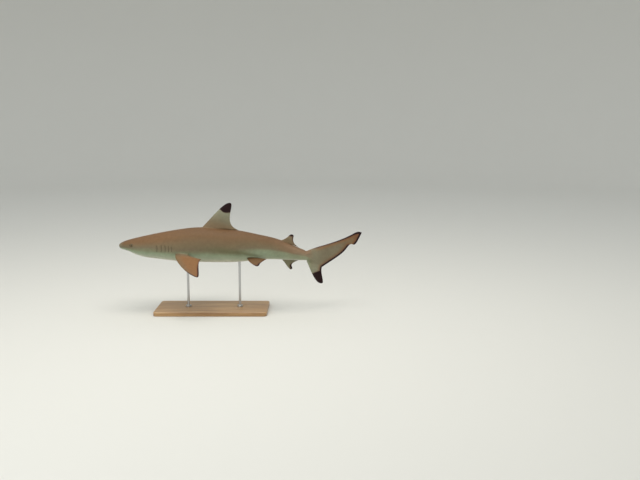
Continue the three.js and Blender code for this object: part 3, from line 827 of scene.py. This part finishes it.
def window_loop(centre, rings, columns):
    """Opens a window round the grid point nearest to centre and gives the loop of its edge."""
    i, j = min(grid, key=lambda key: (grid[key].co - centre).length if grid[key].is_valid else 1e9)
    return open_loop(i - rings, i + rings, j, columns)


def opening_rows(chain, to_plane, rim, outer, inner, lay):
    """Rows for an opening. to_plane gives a point's place in the opening's own plane, and rim the
    edge of the opening in a direction. The outer rows run in to the rim by shares, and the inner
    rows are the rim at other sizes and depths. lay puts a place on the head."""
    starts = [to_plane(vertex.co) for vertex in chain]
    rims = [rim(math.atan2(start.y, start.x)) for start in starts]
    marks = [marks_of(vertex) for vertex in chain]
    rows = []
    for share in outer:
        rows.append([
            lay(start.lerp(edge, share), (start - edge).length * (1 - share), 0.0, mark)
            for start, edge, mark in zip(starts, rims, marks)
        ])
    for size, depth in inner:
        rows.append([lay(edge * size, 0.0, depth, mark) for edge, mark in zip(rims, marks)])
    return rows


def eye_plane_place(point):
    return Vector((point.x - EYE_STATION, point.z - EYE_HEIGHT))


def eye_rim(angle):
    return Vector((EYE_HALF_LENGTH * math.cos(angle), EYE_HALF_HEIGHT * math.sin(angle)))


def lay_lid(place, from_rim, depth, marks):
    x, z = EYE_STATION + place.x, EYE_HEIGHT + place.y
    lift = eye_swell(x, z) + LID_RAISE * math.exp(-from_rim / 1.8) - depth
    # painted shade: the socket is dark inside, and a little dark at the lid's edge
    recess_shade = 1.0 if depth > 0.5 else 0.6 * math.exp(-from_rim / 0.5)
    return side_point(x, z, lift), dict(marks, crease=recess_shade)


eye_loop = window_loop(side_point(EYE_STATION, EYE_HEIGHT, 0), 8, 5)
eye_rows = opening_rows(eye_loop, eye_plane_place, eye_rim, LID_SHARES, SOCKET_ROWS, lay_lid)
grow(eye_loop, eye_rows, closed=True)

# ---------------------------------------------------------------- nostrils
# Each nostril is a slanting slit under the snout, half covered in front by a small pointed flap.
# Behind its thin raised lip the skin turns in and closes as a shallow pit.

NOSTRIL_STATION = 40
NOSTRIL_ANGLE = math.radians(134)  # round the snout from its upper midline
SKIN_PER_RADIAN = 30  # mm round the snout there
NOSTRIL_HALF_LENGTH, NOSTRIL_HALF_WIDTH = 7.0, 2.2
NOSTRIL_SLANT = 0.8  # radians from straight ahead
NOSTRIL_LIP = 0.4
FLAP_REACH, FLAP_MIDDLE, FLAP_HALF_WIDTH, FLAP_RAISE = 2.6, 0.6, 2.2, 0.5
NOSTRIL_SHARES = (0.16, 0.32, 0.47, 0.60, 0.72, 0.82, 0.90, 0.96, 1.0)
NOSTRIL_PIT = (  # size beside the rim, and depth under it
    (0.99, 0.15), (0.975, 0.45), (0.96, 1.0), (0.94, 2.0), (0.85, 3.0), (0.6, 3.6), (0.3, 3.9),
    (0.0, 4.0),
)

slit_along = Vector((-math.cos(NOSTRIL_SLANT), -math.sin(NOSTRIL_SLANT)))  # forwards and outwards
slit_across = Vector((math.sin(NOSTRIL_SLANT), -math.cos(NOSTRIL_SLANT)))


def nostril_plane_place(point):
    around = SKIN_PER_RADIAN * (section_angle(point) - NOSTRIL_ANGLE)
    away = Vector((point.x - NOSTRIL_STATION, around))
    return Vector((away.dot(slit_along), away.dot(slit_across)))


def flap_share(along):
    """How far the flap reaches here: 1 at its point and 0 beyond its sides."""
    return bell(along, FLAP_MIDDLE, FLAP_HALF_WIDTH)


def nostril_rim(angle):
    along, across = NOSTRIL_HALF_LENGTH * math.cos(angle), NOSTRIL_HALF_WIDTH * math.sin(angle)
    return Vector((along, across - min(0.0, math.sin(angle)) * FLAP_REACH * flap_share(along)))


def lay_nostril(place, from_rim, depth, marks):
    away = place.x * slit_along + place.y * slit_across
    x, angle = NOSTRIL_STATION + away.x, NOSTRIL_ANGLE + away.y / SKIN_PER_RADIAN
    flap = FLAP_RAISE * flap_share(place.x) * (1 - ease(-1.5, 1.5, place.y))
    lift = (NOSTRIL_LIP + flap) * math.exp(-from_rim / 2.5) - depth
    # painted shade: the pit is dark inside, and a little dark at its lip
    recess_shade = min(1.0, 2.5 * depth) if depth > 0 else 0.5 * math.exp(-from_rim / 0.5)
    return skin_point(x, angle, lift), dict(marks, crease=recess_shade)


nostril_loop = window_loop(skin_point(NOSTRIL_STATION, NOSTRIL_ANGLE, 0), 8, 5)
nostril_rows = opening_rows(
    nostril_loop, nostril_plane_place, nostril_rim, NOSTRIL_SHARES, NOSTRIL_PIT, lay_nostril,
)
grow(nostril_loop, nostril_rows, closed=True)

# ---------------------------------------------------------------- the finished skin
# The left half is mirrored, closed along the midline and set over the stand, where it takes the
# place of the frame's plain solids of the animal, all but the eyes.

STAND_BEHIND_SNOUT = 462
BELLY_HEIGHT = 250
MM = 0.001
SET_IN_PLACE = Matrix.Scale(MM, 4) @ Matrix.Translation((-STAND_BEHIND_SNOUT, 0, BELLY_HEIGHT))


def new_object(name, data):
    thing = bpy.data.objects.new(name, data)
    bpy.context.scene.collection.objects.link(thing)
    return thing


def smooth_object(shape, name):
    for face in shape.faces:
        face.smooth = True
    mesh = bpy.data.meshes.new(name)
    shape.to_mesh(mesh)
    shape.free()
    return new_object(name, mesh)


def finish_mesh(shape, name):
    """Closes a mesh, turns its faces outwards, sets it over the stand and makes it an object."""
    bmesh.ops.remove_doubles(shape, verts=shape.verts, dist=0.01)
    bmesh.ops.recalc_face_normals(shape, faces=shape.faces)
    bmesh.ops.transform(shape, matrix=SET_IN_PLACE, verts=shape.verts)
    return smooth_object(shape, name)


everything = skin.verts[:] + skin.edges[:] + skin.faces[:]
bmesh.ops.mirror(skin, geom=everything, axis="Y", merge_dist=0.001)
shark_skin = finish_mesh(skin, "shark_skin")
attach(shark_skin, "root")
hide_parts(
    "head", "lower_jaw", "trunk", "tail", "caudal_upper_lobe", "caudal_lower_lobe",
    "first_dorsal_fin", "second_dorsal_fin", "anal_fin", "pectoral_fin_left", "pectoral_fin_right",
    "pelvic_fin_left", "pelvic_fin_right",
)

# ---------------------------------------------------------------- skin material
# Shark skin is set with tiny ridged scales, so it is matt to satin, a little rough, and never
# shiny. The model is cast and airbrushed: brown above, pale below, with soft mottling.


def srgb(code):
    """An sRGB hex colour as the linear colour that Blender's shaders take."""
    channels = [int(code[k:k + 2], 16) / 255 for k in (1, 3, 5)]
    return tuple([c / 12.92 if c <= 0.04045 else ((c + 0.055) / 1.055) ** 2.4 for c in channels] + [1.0])


def put(material, kind, inputs=(), out=0, stops=(), **settings):
    """Adds a node with its inputs (values or other nodes' outputs), colour stops and settings, and
    gives one of its outputs."""
    tree = material.node_tree
    node = tree.nodes.new("ShaderNode" + kind)
    for name, value in settings.items():
        setattr(node, name, value)
    keyed = inputs if isinstance(inputs, dict) else dict(enumerate(inputs))
    for key, value in keyed.items():
        if isinstance(value, bpy.types.NodeSocket):
            tree.links.new(value, node.inputs[key])
        else:
            node.inputs[key].default_value = value
    elements = node.color_ramp.elements if stops else []
    while len(elements) < len(stops):
        elements.new(1.0)
    for element, (position, code) in zip(elements, stops):
        element.position, element.color = position, srgb(code)
    return node.outputs[out] if node.outputs else None


def new_material(name):
    material = bpy.data.materials.new(name)
    material.use_nodes = True
    material.node_tree.nodes.clear()
    return material


PER_MM = 1000.0  # patterns are given in repeats per metre
SMOOTH = {"interpolation_type": "SMOOTHSTEP"}
COLOURS = {"data_type": "RGBA"}  # a colour mix has its share at input 0 and its colours at 6 and 7

resin = new_material("cast_resin_shark_skin")
marks = {name: put(resin, "Attribute", out="Fac", attribute_name=name) for name in MARKS}
skin_place = put(resin, "TexCoord", out="Object")


def lumps(size_mm, detail=3.0, rough=0.5, stretch=(1, 1, 1)):
    """A soft random pattern with lumps of about this size."""
    place = put(resin, "Mapping", {"Vector": skin_place, "Scale": stretch})
    return put(resin, "TexNoise", {
        "Vector": place, "Scale": PER_MM / size_mm, "Detail": detail, "Roughness": rough})


def total(start, *patterns):
    """Adds up patterns, each times its own weight."""
    for pattern, weight in patterns:
        start = put(resin, "Math", (pattern, weight, start), operation="MULTIPLY_ADD")
    return start


# The snout's sensory pores are pinholes about 3 mm apart, and the lateral line is a faint ridge.
PORE_SPACING = 3.0
snout_end = SET_IN_PLACE.translation.x
along_body = put(resin, "SeparateXYZ", (skin_place,))
on_snout = put(resin, "MapRange", (
    along_body, snout_end + 60 * MM, snout_end + 130 * MM, 1.0, 0.0), **SMOOTH)
from_pore = put(resin, "TexVoronoi", {
    "Vector": skin_place, "Scale": PER_MM / PORE_SPACING, "Randomness": 0.85})
in_pore = put(resin, "MapRange", (from_pore, 0.08, 0.14, 1.0, 0.0), **SMOOTH)
pores = total(0.0, (in_pore, on_snout))
from_line = put(resin, "Math", (marks["line"],), operation="ABSOLUTE")
on_line = put(resin, "MapRange", (from_line, 0.3, 1.6, 1.0, 0.0), **SMOOTH)
lateral_line = total(0.0, (on_line, marks["lateral"]))

# Relief in mm: scales, drawn coarser than the real ones so that they show, faint folds, and rays
# in the fins.
RAY_TURN = 4.2  # radians to a mm, which puts the rays 1.5 mm apart
RAY_HEIGHT = 0.035
ray_phase = total(0.0, (total(marks["ray"], (lumps(30, 2.0), 5.0)), RAY_TURN))
ray_wave = put(resin, "Math", (ray_phase,), operation="SINE")
rays = total(0.0, (ray_wave, total(0.0, (marks["fin"], RAY_HEIGHT))))
scales = lumps(1.6, 2.0, 0.6)
folds = lumps(22, 2.0, 0.5, (1.0, 1.0, 0.4))
relief_mm = total(rays, (scales, 0.16), (folds, 0.25), (pores, -0.25), (lateral_line, 0.15))

# Colours from the pale belly to the brown back, then the airbrushed markings over them.
SHADE_STOPS = (
    (0.00, "#d0cfc1"), (0.08, "#b7bcaa"), (0.16, "#9fa892"), (0.26, "#8b967c"), (0.34, "#7d7b61"),
    (0.42, "#776a54"), (0.52, "#75674e"), (0.66, "#725e45"), (0.80, "#6f5438"), (1.00, "#6c5036"),
)
LAYERS = (
    ("wedge", 0.9, "#656448"), ("beige", 1.0, "#866d55"), ("pale", 1.0, "#8f907a"),
    ("warm", 1.0, "#855f3c"),
)
shade = total(marks["shade"], (lumps(60, 3.0, 0.55), 0.08), (0.5, -0.08))
colour = put(resin, "ValToRGB", (shade,), stops=SHADE_STOPS)
for name, strength, code in LAYERS:
    share = total(0.0, (marks[name], strength))
    colour = put(resin, "Mix", {0: share, 6: colour, 7: srgb(code)}, 2, **COLOURS)
fine_mottle = put(resin, "MapRange", (lumps(14, 4.0, 0.6), 0.3, 0.7, 0.94, 1.06), **SMOOTH)
broad_mottle = put(resin, "MapRange", (lumps(110, 2.0, 0.5), 0.3, 0.7, 0.96, 1.04), **SMOOTH)
mottle = total(0.0, (fine_mottle, broad_mottle), (lateral_line, -0.05), (pores, -0.28))
tone = put(resin, "CombineXYZ", (mottle, mottle, mottle))
colour = put(resin, "Mix", {0: 1.0, 6: colour, 7: tone}, 2, blend_type="MULTIPLY", **COLOURS)
edge = total(marks["black"], (lumps(5, 3.0, 0.6), 3.0), (0.5, -3.0))
DARKS = (  # a maroon fringe, the black itself, and painted shade in every crease
    (edge, -8.0, 0.5, 0.55, "#5c2320"), (edge, -1.6, 1.4, 1.0, "#1f0508"),
    (marks["crease"], 0.15, 0.9, 0.75, "#332a22"),
)
for pattern, low, high, most, code in DARKS:
    share = put(resin, "MapRange", (pattern, low, high, 0.0, most), **SMOOTH)
    colour = put(resin, "Mix", {0: share, 6: colour, 7: srgb(code)}, 2, **COLOURS)
roughness = put(resin, "MapRange", (lumps(9, 3.0, 0.6), 0.3, 0.7, 0.46, 0.6), **SMOOTH)
bump = put(resin, "Bump", {"Height": relief_mm, "Distance": MM, "Strength": 0.7})
shader = put(resin, "BsdfPrincipled", {
    "Base Color": colour, "Roughness": roughness, "IOR": 1.4, "Specular IOR Level": 0.3, "Normal": bump})
put(resin, "OutputMaterial", (shader,))
shark_skin.data.materials.append(resin)

# ---------------------------------------------------------------- eyes
# Glass eyes: a domed eyeball with a brassy iris, a dark rim and the upright slit pupil of a reef
# shark, under a clear polished cornea.

EYE_BALL = Vector((12.5, 8, 10.5))  # half sizes
EYE_PROUD = 3.2
PUPIL_HALF = (1.9, 5.8)
IRIS_RADIUS = 9.4
IRIS_STOPS = ((0.0, "#69573a"), (0.5, "#7e6b46"), (0.80, "#65543a"), (1.0, "#1d1710"))

glass = new_material("polished_glass_eye")
eye_centre = SET_IN_PLACE @ Vector((EYE_STATION, 0, EYE_HEIGHT))
eye_place = put(glass, "TexCoord", out="Object")
eye_plane = put(glass, "Mapping", {
    "Vector": eye_place, "Location": -PER_MM * eye_centre, "Scale": (PER_MM, 0, PER_MM)})


def eye_ellipse(half_x, half_z):
    """Distance from the eye's axis in units of an ellipse."""
    scaled = put(glass, "VectorMath", (eye_plane, (1 / half_x, 0, 1 / half_z)), operation="MULTIPLY")
    return put(glass, "VectorMath", (scaled,), "Value", operation="LENGTH")


iris = put(glass, "ValToRGB", (eye_ellipse(IRIS_RADIUS, IRIS_RADIUS),), stops=IRIS_STOPS)
fibres = put(glass, "TexNoise", {"Vector": eye_plane, "Scale": 0.9, "Detail": 4.0})
fibres = put(glass, "MapRange", (fibres, 0.35, 0.7, 0.0, 0.6))
iris = put(glass, "Mix", {0: fibres, 6: iris, 7: srgb("#7c6540")}, 2, blend_type="MULTIPLY", **COLOURS)
in_pupil = put(glass, "MapRange", (eye_ellipse(*PUPIL_HALF), 1.12, 0.92, 0.0, 1.0), **SMOOTH)
eye_colour = put(glass, "Mix", {0: in_pupil, 6: iris, 7: srgb("#050404")}, 2, **COLOURS)
shader = put(glass, "BsdfPrincipled", {
    "Base Color": eye_colour, "Roughness": 0.4, "Specular IOR Level": 0.2,
    "Coat Weight": 0.35, "Coat Roughness": 0.04})
put(glass, "OutputMaterial", (shader,))

eye_seat = side_point(EYE_STATION, EYE_HEIGHT, 0)
eye_axis = side_point(EYE_STATION, EYE_HEIGHT, 1) - eye_seat
eye_turn = Vector((0, -1, 0)).rotation_difference(eye_axis).to_matrix()

for side, name in ((1, "eye_left"), (-1, "eye_right")):
    ball = bmesh.new()
    bmesh.ops.create_uvsphere(ball, u_segments=48, v_segments=32, radius=1.0)
    bmesh.ops.scale(ball, vec=EYE_BALL, verts=ball.verts)
    bmesh.ops.rotate(ball, matrix=eye_turn, verts=ball.verts)
    bmesh.ops.translate(ball, vec=eye_seat + (EYE_PROUD - EYE_BALL.y) * eye_axis, verts=ball.verts)
    bmesh.ops.scale(ball, vec=(1, side, 1), verts=ball.verts)
    eye = finish_mesh(ball, "glass_" + name)
    eye.data.materials.append(glass)
    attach(eye, "root")
    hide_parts(name)

# ---------------------------------------------------------------- display stand
# A lacquered oak board and two brushed steel rods in turned collars. Their shapes are the
# frame's own, and each gets its finish here.

# Oak shows wavy growth bands, here 15 mm wide and 240 mm long, and fine open pores along the grain,
# drawn 1 mm wide and 25 mm long.
oak = new_material("lacquered_oak")
oak_place = put(oak, "TexCoord", out="Object")
along_grain = put(oak, "Mapping", {"Vector": oak_place, "Scale": (1.4, 22, 22)})
growth = put(oak, "TexNoise", {"Vector": along_grain, "Scale": 3.0, "Detail": 5.0, "Distortion": 0.6})
pore_place = put(oak, "Mapping", {"Vector": oak_place, "Scale": (40, 900, 900)})
grain = put(oak, "TexNoise", {"Vector": pore_place, "Scale": 1.0, "Detail": 2.0})
OAK_STOPS = ((0.3, "#8f6a42"), (0.5, "#ab8457"), (0.7, "#bf9b6c"))
oak_colour = put(oak, "ValToRGB", (growth,), stops=OAK_STOPS)
pore_share = put(oak, "MapRange", (grain, 0.62, 0.72, 0.0, 0.5))
oak_colour = put(oak, "Mix", {0: pore_share, 6: oak_colour, 7: srgb("#5f4429")}, 2, **COLOURS)
bump = put(oak, "Bump", {"Height": grain, "Distance": 0.2 * MM, "Strength": 0.25})
shader = put(oak, "BsdfPrincipled", {
    "Base Color": oak_colour, "Roughness": 0.42, "IOR": 1.5, "Normal": bump,
    "Coat Weight": 0.3, "Coat Roughness": 0.15})
put(oak, "OutputMaterial", (shader,))

# Steel brushed in a lathe keeps fine rings round it, drawn here 0.4 mm apart.
steel = new_material("brushed_stainless_steel")
steel_place = put(steel, "TexCoord", out="Object")
rings_round = put(steel, "Mapping", {"Vector": steel_place, "Scale": (60, 60, 2500)})
brushing = put(steel, "TexNoise", {"Vector": rings_round, "Scale": 1.0, "Detail": 2.0})
roughness = put(steel, "MapRange", (brushing, 0.3, 0.7, 0.26, 0.4))
bump = put(steel, "Bump", {"Height": brushing, "Distance": 0.1 * MM, "Strength": 0.2})
shader = put(steel, "BsdfPrincipled", {
    "Base Color": srgb("#c0c1c2"), "Metallic": 1.0, "Roughness": roughness, "Normal": bump})
put(steel, "OutputMaterial", (shader,))

for name, material in (("stand_base", oak), ("stand_rod_front", steel), ("stand_rod_rear", steel),
                       ("stand_collar_front", steel), ("stand_collar_rear", steel)):
    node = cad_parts[name]
    node.data.materials.clear()
    node.data.materials.append(material)

# ---------------------------------------------------------------- floor, light and camera
# A wide pale floor that curves up into a wall, soft light from above and in front, and a camera
# higher than the shark that looks a little down on it. Sizes here are in metres.

FLOOR_RADIUS = 7.0
COVE_RADIUS = 2.5
WALL_TOP = 7.0

studio = bmesh.new()
centre, foot = studio.verts.new((0, 0, 0)), studio.verts.new((FLOOR_RADIUS, 0, 0))
studio.edges.new((centre, foot))
bent = bmesh.ops.spin(studio, geom=[foot], cent=(FLOOR_RADIUS, 0, COVE_RADIUS), axis=(0, -1, 0),
                      angle=math.pi / 2, steps=12, use_merge=False)
arc_end = next(item for item in bent["geom_last"] if isinstance(item, bmesh.types.BMVert))
wall_top = studio.verts.new((FLOOR_RADIUS + COVE_RADIUS, 0, WALL_TOP))
studio.edges.new((arc_end, wall_top))
bmesh.ops.spin(studio, geom=studio.verts[:] + studio.edges[:], cent=(0, 0, 0), axis=(0, 0, 1),
               angle=2 * math.pi, steps=96, use_merge=True)
bmesh.ops.remove_doubles(studio, verts=studio.verts, dist=0.001)
floor = smooth_object(studio, "studio_floor")
paper = new_material("matt_paper")
shader = put(paper, "BsdfPrincipled", {"Base Color": srgb("#dad9d4"), "Roughness": 0.9})
put(paper, "OutputMaterial", (shader,))
floor.data.materials.append(paper)

LIGHTS = (  # name, place, aim, size, power in watts, colour
    ("sky_panel", (0.0, -0.8, 3.4), (0.1, 0.0, 0.3), 3.2, 75, "#fffaf0"),
    ("front_panel", (-1.6, -3.6, 1.6), (0.1, 0.0, 0.4), 2.2, 30, "#f4f9fa"),
)
for name, place, aim, size, power, tint in LIGHTS:
    lamp = bpy.data.lights.new(name, "AREA")
    lamp.shape = "DISK"
    lamp.size = size
    lamp.energy = power
    lamp.color = srgb(tint)[:3]
    holder = new_object(name, lamp)
    holder.location = place
    holder.rotation_euler = (Vector(aim) - Vector(place)).to_track_quat("-Z", "Y").to_euler()
    holder.visible_camera = False

world = bpy.data.worlds.new("soft_room")
world.use_nodes = True
background = world.node_tree.nodes["Background"]
background.inputs["Color"].default_value = srgb("#dfe3e4")
background.inputs["Strength"].default_value = 1.0
bpy.context.scene.world = world
bpy.context.scene.view_settings.view_transform = "Standard"

IMAGE_WIDTH = 640
FOCAL_PIXELS = 856
SENSOR = 36.0
CAMERA_PLACE = (0.5415, -4.2223, 1.0292)
CAMERA_DROP = math.radians(9)

camera = bpy.data.cameras.new("camera")
camera.sensor_width = SENSOR
camera.lens = SENSOR * FOCAL_PIXELS / IMAGE_WIDTH
camera_holder = new_object("camera", camera)
camera_holder.location = CAMERA_PLACE
camera_holder.rotation_euler = (math.pi / 2 - CAMERA_DROP, 0, 0)
bpy.context.scene.camera = camera_holder
